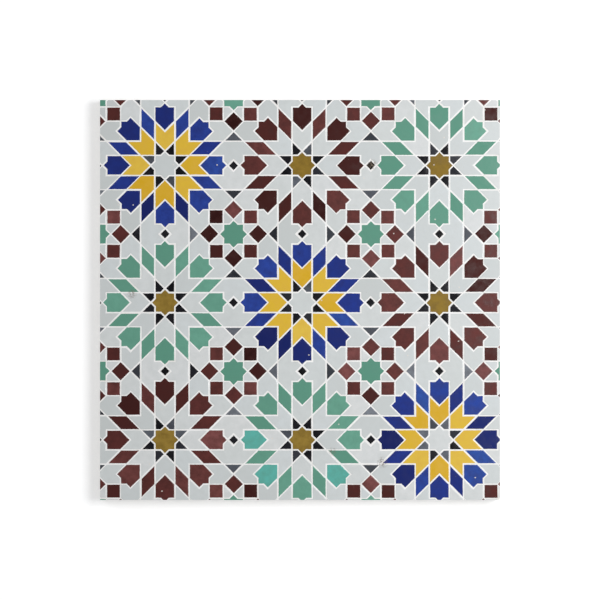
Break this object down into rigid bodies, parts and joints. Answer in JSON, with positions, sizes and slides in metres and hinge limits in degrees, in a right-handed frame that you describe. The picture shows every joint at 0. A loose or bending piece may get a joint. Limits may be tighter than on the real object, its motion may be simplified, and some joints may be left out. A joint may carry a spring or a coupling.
{
  "type": "moroccan mosaic tile",
  "caption": "Square panel of hand-cut glazed tesserae in an eight-fold star and rosette pattern, on a cast mortar bed.",
  "frame": {"origin": "centre of the flat underside of the mortar bed", "axes": "+Z is the way the glazed face looks, away from the floor or wall it is laid on; +Y is the top of the pattern as pictured, +X its right"},
  "size_m": [0.5, 0.5, 0.025],
  "materials": {
    "mortar": "matte",
    "white_glaze": "glossy",
    "ochre_glaze": "glossy",
    "black_glaze": "glossy",
    "yellow_glaze": "glossy",
    "blue_glaze": "glossy",
    "oxblood_glaze": "glossy",
    "green_glaze": "glossy"
  },
  "bodies": {
    "root": {"mortar_bed": "mortar", "white_centre_stars": "white_glaze", "ochre_centre_stars": "ochre_glaze", "black_kites": "black_glaze", "yellow_arrowheads": "yellow_glaze", "white_arrowheads": "white_glaze", "blue_rhombs": "blue_glaze", "red_rhombs": "oxblood_glaze", "green_rhombs": "green_glaze", "blue_petals": "blue_glaze", "red_petals": "oxblood_glaze", "green_petals": "green_glaze", "green_corner_stars": "green_glaze", "red_squares": "oxblood_glaze", "white_kites": "white_glaze", "white_elbows": "white_glaze", "black_diamonds": "black_glaze", "white_crowns": "white_glaze", "black_triangles": "black_glaze"}
  },
  "joints": []
}
